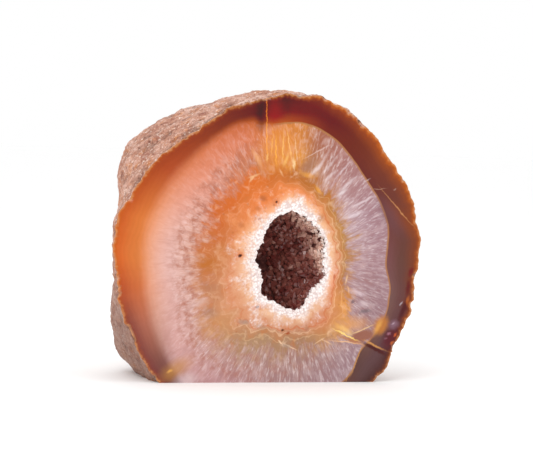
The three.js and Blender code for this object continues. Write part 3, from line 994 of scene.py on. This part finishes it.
VEIN = [  # yellow quartz at the lower right, the brown wedge in it, and the lines round it
    (13.0, -19.6, 4.4, 2.6, 30, 0.9, 0.5, "#c87850"), (21.8, -21.0, 5.2, 2.2, 2, 0.9, 0.7, "#d8985c"),
    (19.8, -23.0, 2.8, 0.9, -30, 0.9, 0.6, "#f6c470"), (26.2, -24.9, 4.0, 1.9, 12, 0.3, 0.95, "#945e4c"),
    (26.2, -22.6, 3.9, 0.18, 24, 0.6, 0.75, "#ecc48c"), (20.4, -24.7, 4.6, 0.24, -25, 0.5, 0.9, "#f9d47c"),
    (20.9, -27.2, 5.8, 0.22, -7, 0.6, 0.85, "#e6b488"), (22.0, -26.4, 4.6, 0.6, -18, 0.7, 0.7, "#b8743a"),
    (30.4, -29.2, 4.2, 0.6, -26, 0.5, 0.9, "#4a1a16"), (30.4, -28.2, 4.0, 0.3, -24, 0.6, 0.9, "#c88c50"),
    (32.4, -21.3, 3.1, 2.3, 62, 0.5, 0.9, "#b87438"), (31.4, -21.8, 2.4, 0.7, 66, 0.9, 0.7, "#dca050"),
    (35.8, -25.6, 3.8, 1.9, 62, 0.8, 0.9, "#5c2028"), (36.9, -21.2, 1.6, 1.2, 20, 0.8, 0.8, "#846270"),
    (36.6, -20.8, 0.5, 0.25, 30, 0.9, 0.5, "#c4acb8"), (35.4, -24.2, 0.6, 0.35, 30, 0.8, 0.7, "#a87080"),
    (34.2, -25.8, 0.5, 0.3, 0, 0.8, 0.6, "#8c5c68"),
    (37.6, -24.4, 0.7, 0.4, 60, 0.7, 0.8, "#c85c30"), (36.6, -27.4, 0.8, 0.35, 50, 0.7, 0.8, "#c06438"),
    (24.4, -32.6, 5.4, 0.24, 70, 0.6, 0.8, "#bc8856"), (21.6, -38.4, 2.4, 0.24, 62, 0.6, 0.8, "#b07c50"),
    (11.0, -26.6, 1.8, 0.2, 34, 0.8, 0.55, "#ecc8a0"), (13.6, -26.9, 1.8, 0.2, -24, 0.8, 0.55, "#ecc8a0"),
    (19.9, -6.0, 1.4, 0.3, 80, 0.8, 0.6, "#ecc090"), (20.6, -9.6, 1.2, 0.3, 110, 0.8, 0.6, "#e8b488"),
    (1.0, -28.6, 2.2, 0.2, -22, 0.6, 0.8, "#ecc8a4"), (-2.2, -27.4, 1.4, 0.2, -50, 0.6, 0.8, "#ecc8a4"),
]
print("spots in the fault and the vein:", len(FAULT), len(VEIN))

# %% Stains and pits
STAINS = [  # low on the left, and brown clouds left of the pocket
    (-37.6, -36.0, 4.6, 2.2, 34, 0.9, 0.6, "#c48a44"), (-39.8, -36.6, 0.9, 0.4, 20, 0.9, 0.6, "#f0b45c"),
    (-34.0, -39.6, 3.4, 1.8, 10, 0.9, 0.45, "#ecd8da"), (-28.0, -1.4, 4.4, 2.4, 0, 0.9, 0.65, "#b4661e"),
    (-22.5, 3.0, 3.8, 2.2, -25, 0.9, 0.5, "#b87038"), (-21.5, 9.0, 3.0, 2.4, 30, 0.9, 0.5, "#bc6430"),
    (-27.0, -9.0, 2.6, 1.6, 0, 0.9, 0.4, "#a07058"), (-26.5, -17.5, 2.0, 1.4, 0, 0.9, 0.5, "#946e60"),
    (-30.0, -14.0, 2.4, 1.2, 20, 0.9, 0.3, "#ecd4d0"), (-24.0, -21.5, 6.0, 3.4, 30, 0.9, 0.4, "#c88c54"),
]
PITS = [  # in the chalcedony: rusty halos, pits painted dark as painted shade, brown dots and grey lenses
    (-5.2, 19.4, 1.2, 1.0, 0, 0.9, 0.55, "#c0602c"), (-5.2, 19.4, 0.45, 0.3, 40, 0.5, 0.95, "#3c1410"),
    (-9.7, 20.7, 1.0, 0.9, 0, 0.7, 0.6, "#a05a38"), (-11.4, 17.1, 0.8, 0.7, 0, 0.8, 0.5, "#b46840"),
    (-10.8, 13.7, 0.8, 0.4, 20, 0.7, 0.7, "#a05034"), (-16.9, 11.6, 1.0, 0.8, 0, 0.8, 0.5, "#b06038"),
    (-17.2, 1.5, 1.4, 1.1, 0, 0.9, 0.65, "#d0682c"), (-17.1, 1.3, 0.6, 0.45, 60, 0.5, 0.95, "#301414"),
    (-10.9, -15.4, 1.5, 1.0, 20, 0.9, 0.6, "#c8643c"), (-10.6, -15.3, 0.6, 0.45, 50, 0.5, 0.9, "#402830"),
    (-1.7, -23.1, 0.5, 0.4, 0, 0.5, 0.9, "#3c2018"), (0.0, -23.9, 0.6, 0.35, 20, 0.6, 0.8, "#9c4020"),
    (10.1, 14.2, 1.3, 1.1, 20, 0.9, 0.5, "#98603c"), (15.6, -5.1, 0.8, 0.3, 85, 0.6, 0.7, "#b04c28"),
    (-15.2, -20.4, 1.9, 0.7, -6, 0.7, 0.6, "#9c8478"), (-9.4, -22.0, 1.7, 0.8, -8, 0.7, 0.5, "#a88a74"),
    (-0.4, -28.3, 1.8, 0.5, -12, 0.6, 0.6, "#a08878"), (6.5, -22.6, 0.9, 0.7, 0, 0.7, 0.5, "#9c7058"),
]
SPOTS = CRACK + FEATHERS + FAULT + VEIN + STAINS + PITS
print("spots on the face:", len(SPOTS))

# %% Lay the spots over a colour
WAVER = 1.9  # mm that a spot's edge may move, at the most


def with_spots(tree, colour, flat, local):
    """Lay every spot of the list over the colour, with edges that waver in steps of 2.5 mm."""
    uneven = {"Scale": 1 / 2.5, "Detail": 6, "Roughness": 0.66, "give": "Color"}
    waver = add(tree, "TexNoise", uneven, Vector=local)
    centred = add(tree, "VectorMath", {"operation": "SUBTRACT", 1: (0.5, 0.5, 0.5)}, _0=waver)
    moved = add(tree, "VectorMath", {"operation": "SCALE", "Scale": WAVER}, Vector=centred)
    wavering = add(tree, "VectorMath", {"operation": "ADD"}, _0=flat, _1=moved)
    face = add(tree, "Mapping", {"Scale": (1, 1, 0)}, Vector=wavering)
    for x, z, length, width, turned, softness, strength, tint in SPOTS:
        reach = 1 + softness
        own_space = add(tree, "Mapping", {
            "vector_type": "TEXTURE", "Location": (x, z, 0), "Rotation": (0, 0, math.radians(turned)),
            "Scale": (reach * length, reach * width, 1)}, Vector=face)
        ball = add(tree, "TexGradient", {"gradient_type": "SPHERICAL", "give": "Fac"}, Vector=own_space)
        cover = add(tree, "MapRange", EASE | {"From Max": 2 * softness / reach, "To Max": strength}, Value=ball)
        colour = add(tree, "Mix", TINT | {"B": linear(tint)}, Factor=cover, A=colour)
    return colour


print("longest spot, mm:", max(2 * length for _, _, length, *_ in SPOTS))

# %% [markdown]
# ## The whole agate
# The bands are laid over each other from the outside in, and each border has its own character: a tan
# line or a soft change between band and quartz, ragged teeth between quartz and chalcedony, and loose
# grains round the white rim. Two materials use this one colour, because a cut shows the same bands
# whether it is polished or not. The real stone lets light in, and the pale tints imitate that.

# %% Where the quartz meets the outer band
def meet_the_band(tree, quartz, band, growth, local):
    """Lay the band over the quartz: a soft border on one side of the stone, a sharp tan line on the other."""
    softness = add(tree, "Attribute", {"attribute_name": "softness", "give": "Fac"})
    calm = add(tree, "TexNoise", {"Scale": 1 / 7, "Detail": 3}, Vector=local)
    border = bent_growth(tree, growth, calm, 0.07)
    low = add(tree, "Math", {"operation": "MULTIPLY_ADD", 1: -1.0, 2: 3.0}, _0=softness)
    high = add(tree, "Math", {"operation": "ADD", 1: 3.0}, _0=softness)
    to_band = add(tree, "MapRange", EASE, Value=border, From_Min=low, From_Max=high)
    colour = add(tree, "Mix", TINT, Factor=to_band, A=quartz, B=band)
    off_line = add(tree, "Math", {"operation": "SUBTRACT", 1: 3.0}, _0=border)
    distance = add(tree, "Math", {"operation": "ABSOLUTE"}, _0=off_line)
    on_line = add(tree, "MapRange", EASE | {"From Min": 0.036, "From Max": 0.01}, Value=distance)
    where_sharp = add(tree, "MapRange", {"From Min": 0.1, "From Max": 0.04, "To Max": 0.85}, Value=softness)
    line = add(tree, "Math", {"operation": "MULTIPLY"}, _0=on_line, _1=where_sharp)
    return add(tree, "Mix", TINT | {"B": linear("#a87248")}, Factor=line, A=colour)


print("softest border, in steps of growth:", max(value for _, value in RING_VALUES["softness"]))

# %% Where the white rim ends
LOOSE_GRAIN = 0.8  # mm across the grains at the rim's edge, drawn a little coarser than the others


def with_white_rim(tree, colour, growth, ripples, flat, local):
    """Lay the white rim over the colour. It breaks up into teeth 1.5 mm wide, ripples and loose grains."""
    teeth = spoke_noise(tree, flat, growth, 1.46, 2.5, {"Detail": 5, "Roughness": 0.7})
    grains = add(tree, "TexNoise", {"Scale": 1 / LOOSE_GRAIN, "Detail": 4, "Roughness": 0.7}, Vector=local)
    feathered = bent_growth(tree, bent_growth(tree, growth, teeth, 1.1), ripples, 1.8)
    grainy = bent_growth(tree, feathered, grains, 1.0)
    past_rim = add(tree, "MapRange", EASE | {"From Min": 0.35, "From Max": 1.3}, Value=grainy)
    return add(tree, "Mix", TINT, Factor=past_rim, A=sugar_colour(tree, local), B=colour)


print("loose grains at the rim's edge, mm:", LOOSE_GRAIN)

# %% The whole agate colour
DOME_WIDTH = 3.6  # mm across the domes of the chalcedony
DOME_RADIUS = 25  # mm from the pocket's centre, where they are measured


def agate_colour(tree):
    """Colour socket of cut agate, from the rind to the pocket."""
    local, flat = face_space(tree)
    turn = add(tree, "TexGradient", {"gradient_type": "RADIAL", "give": "Fac"}, Vector=flat)
    growth = add(tree, "Attribute", {"attribute_name": "growth", "give": "Fac"})
    # The chalcedony grew as many small domes, round towards the pocket, with sharp creases between them.
    outward = add(tree, "VectorMath", {"operation": "NORMALIZE"}, Vector=flat)
    soft_cells = {
        "Scale": DOME_RADIUS / DOME_WIDTH, "Randomness": 1.0, "feature": "SMOOTH_F1", "Smoothness": 0.35,
    }
    domes = add(tree, "TexVoronoi", soft_cells, Vector=outward)
    rounded_off = add(tree, "Math", {"operation": "POWER", 1: 2.0}, _0=domes)
    ripples = add(tree, "TexNoise", {"Scale": 1 / 4.5, "Detail": 2}, Vector=local)
    scallops = bent_growth(tree, bent_growth(tree, growth, ripples, 0.6), rounded_off, -0.28, 0.12)
    band = band_colour(tree, growth, turn, local)
    quartz = quartz_colour(tree, growth, turn, flat, local)
    chalcedony = chalcedony_colour(tree, growth, turn, local, scallops)

    colour = meet_the_band(tree, quartz, band, growth, local)
    # Quartz teeth about 1.5 mm wide stand on the chalcedony.
    feathery = spoke_noise(tree, flat, growth, 1.46, 3.75, {"Detail": 5, "Roughness": 0.7})
    ragged = bent_growth(tree, scallops, feathery, 1.1)
    ease_in = add(tree, "MapRange", EASE | {"From Min": 1.78, "From Max": 2.28}, Value=ragged)
    colour = add(tree, "Mix", TINT, Factor=ease_in, A=chalcedony, B=colour)
    colour = with_spots(tree, colour, flat, local)
    colour = with_white_rim(tree, colour, growth, ripples, flat, local)

    # A fresh chip is pale and dull, because the break scatters light.
    chip = add(tree, "Attribute", {"attribute_name": "chip", "give": "Fac"})
    return add(tree, "Mix", TINT | {"B": linear("#dca880")}, Factor=chip, A=colour)


print("a dome of chalcedony, degrees wide:", round(math.degrees(DOME_WIDTH / DOME_RADIUS), 1))

# %% [markdown]
# ## Cut agate, polished and sawn
# Agate is quartz, whose index of refraction is near 1.54. The face was ground and then buffed, so it is
# nearly as smooth as glass and mirrors the lamps. The base came straight from the saw, so the same colours
# look dull there. Only the roughness tells the two apart, so one function makes both.

# %% Polished and sawn agate
AGATE_IOR = 1.54
SHEEN = 0.016  # linear light that the polish reflects towards the camera


def agate_material(name, roughness):
    """Cut agate: the same bands on every cut, polished or straight from the saw."""
    material, tree, skin = new_material(name, roughness)
    skin.inputs["IOR"].default_value = AGATE_IOR
    skin.inputs["Specular IOR Level"].default_value = 0.25  # the space in front of the stone is dim
    # The polish adds a pale reflection over the stone, so the colour below it is set that much deeper.
    less = {"blend_type": "SUBTRACT", "Factor": 1.0, "B": (SHEEN, SHEEN, SHEEN, 1)}
    deeper = add(tree, "Mix", TINT | less, A=agate_colour(tree))
    tree.links.new(skin.inputs["Base Color"], deeper)
    return material


polished_agate = agate_material("polished_agate", 0.12)
print("light that agate mirrors straight back:", round(((AGATE_IOR - 1) / (AGATE_IOR + 1)) ** 2, 3))

# %% [markdown]
# ## The rind's material
# The rind is weathered agate and lava: dull, pinkish brown, with pale flecks where it is chipped and
# rusty orange ones where iron sits. Its hollows are coloured darker, which noise alone would miss, so the
# colour follows the height that the mesh was given. Lower down it is painted darker, as painted shade.
# Only the finest grit is bump.

# %% Natural rind
GRIT = 1.1  # mm. Real grit is about 0.3 mm, drawn coarser so that it shows


def rind_material():
    """Dull pinkish brown stone, with ridges 1 mm wide, pale flecks, rust and dark hollows."""
    material, tree, skin = new_material("natural_agate_rind", 0.7)
    local, _ = face_space(tree)
    relief = add(tree, "Attribute", {"attribute_name": "relief", "give": "Fac"})
    patches = add(tree, "TexNoise", {"Scale": 1 / 6, "Detail": 6, "Roughness": 0.68}, Vector=local)
    colour = add(tree, "ValToRGB", {"stops": [
        (0.34, "#9c5f4c"), (0.46, "#c08972"), (0.56, "#d1a18e"), (0.68, "#e8c8ba")]}, Fac=patches)
    stretched = add(tree, "Mapping", {"Scale": (1 / 3.3, 1 / 0.9, 1 / 3.3)}, Vector=local)
    ridges = add(tree, "TexNoise", {"Scale": 1.0, "Detail": 5, "Roughness": 0.72}, Vector=stretched)
    dark = add(tree, "MapRange", EASE | {"From Min": 0.5, "From Max": 0.34, "To Max": 0.7}, Value=ridges)
    grit = add(tree, "TexNoise", {"Scale": 1 / GRIT, "Detail": 6, "Roughness": 0.75}, Vector=local)
    speck = add(tree, "MapRange", EASE | {"From Min": 0.47, "From Max": 0.36, "To Max": 0.85}, Value=grit)
    fleck = add(tree, "MapRange", EASE | {"From Min": 0.55, "From Max": 0.64, "To Max": 0.9}, Value=grit)
    rusty = add(tree, "TexNoise", {"Scale": 1 / 3.3, "Detail": 5, "Roughness": 0.65}, Vector=local)
    rust = add(tree, "MapRange", EASE | {"From Min": 0.5, "From Max": 0.66, "To Max": 0.75}, Value=rusty)
    hollow = add(tree, "MapRange", EASE | {"From Min": 0.0, "From Max": -0.8, "To Max": 0.75}, Value=relief)
    height = add(tree, "SeparateXYZ", {}, Vector=local).node.outputs["Z"]
    # Painted shade: the rind is coloured darker towards the bottom, where less light falls on it.
    painted_shade_low = add(tree, "MapRange", EASE | {"From Min": 12, "From Max": -26, "To Max": 0.6}, Value=height)
    for factor, tint in (
        (dark, "#905a44"), (rust, "#c87c44"), (speck, "#6c402e"), (hollow, "#68402e"), (fleck, "#f4e0d2"),
        (painted_shade_low, "#7c5e54"),
    ):
        colour = add(tree, "Mix", TINT | {"B": linear(tint)}, Factor=factor, A=colour)
    tree.links.new(skin.inputs["Base Color"], colour)
    bump = add(tree, "Bump", {"Strength": 0.8, "Distance": 0.5 * MM}, Height=grit)
    tree.links.new(skin.inputs["Normal"], bump)
    return material


natural_rind = rind_material()
heights = [item.value for item in stone.data.attributes["relief"].data]
print("rough texture of the rind, mm:", round(min(heights), 1), "to", round(max(heights), 1))

# %% [markdown]
# ## The crystals' material
# Smoky quartz has glassy faces. Iron under them stains it maroon, and the crystals at the pocket's mouth
# are as white as the sugary rim that they grew from. Clear glass would show the wall through them, but
# these are cloudy, so a colour and a sharp reflection are enough. Each crystal carries one shade of its
# own, so the carpet breaks up into single points. Paler shades are painted light: on the lit wall at the
# upper right, and on a few crystals as painted glints.

# %% Smoky quartz
def crystal_material(name, dark, middle, pale, palest):
    """Glassy faces that glint, maroon inside the pocket and white at its mouth."""
    material, tree, skin = new_material(name, 0.12)
    skin.inputs["IOR"].default_value = AGATE_IOR
    depth = add(tree, "Attribute", {"attribute_name": "depth", "give": "Fac"})
    shade = add(tree, "Attribute", {"attribute_name": "shade", "give": "Fac"})
    tones = [(0.0, dark), (0.4, middle), (0.75, pale), (1.0, palest)]
    tone = add(tree, "ValToRGB", {"stops": tones}, Fac=shade)
    inside = add(tree, "MapRange", {"From Min": 0.7, "From Max": 1.6}, Value=depth)
    colour = add(tree, "Mix", TINT | {"A": linear("#f2e8e4")}, Factor=inside, B=tone)
    tree.links.new(skin.inputs["Base Color"], colour)
    return material


smoky_quartz = crystal_material("smoky_quartz_druse", "#743430", "#9c6054", "#f0c4b0", "#fff0e6")
shades = [item.value for item in druse.data.attributes["shade"].data]
print("mean shade of the crystals:", round(sum(shades) / len(shades), 2))

# %% [markdown]
# ## The pocket's wall
# Between the crystals the wall shows here and there. It is the same stained quartz, broken and dull, and
# nearly as dark as the crystals, so that they don't look like beads on a black ground. Noise stains it
# and roughens it, since so little of it shows that a mesh of its own would be wasted.

# %% Quartz of the pocket's wall
STAIN = 1.2  # mm across one stained patch


def wall_material():
    """Dull quartz, stained maroon in patches of about a millimetre."""
    material, tree, skin = new_material("pocket_wall_quartz", 0.9)
    local, _ = face_space(tree)
    stain = add(tree, "TexNoise", {"Scale": 1 / STAIN, "Detail": 4, "Roughness": 0.65}, Vector=local)
    tones = [(0.38, "#421a16"), (0.5, "#582822"), (0.64, "#74403a")]
    colour = add(tree, "ValToRGB", {"stops": tones}, Fac=stain)
    tree.links.new(skin.inputs["Base Color"], colour)
    bump = add(tree, "Bump", {"Strength": 0.6, "Distance": 0.2 * MM}, Height=stain)
    tree.links.new(skin.inputs["Normal"], bump)
    return material


wall_quartz = wall_material()
print("materials so far:", len(bpy.data.materials))

# %% [markdown]
# ## Each surface gets its finish
# The polygons already carry the number of their surface, so the finishes go into the stone's slots in
# that order. The druse has one finish.

# %% Give the finishes
for finish in (polished_agate, natural_rind, agate_material("sawn_agate", 0.45), wall_quartz):
    stone.data.materials.append(finish)
druse.data.materials.append(smoky_quartz)
print("materials:", [m.name for m in stone.data.materials] + [m.name for m in druse.data.materials])
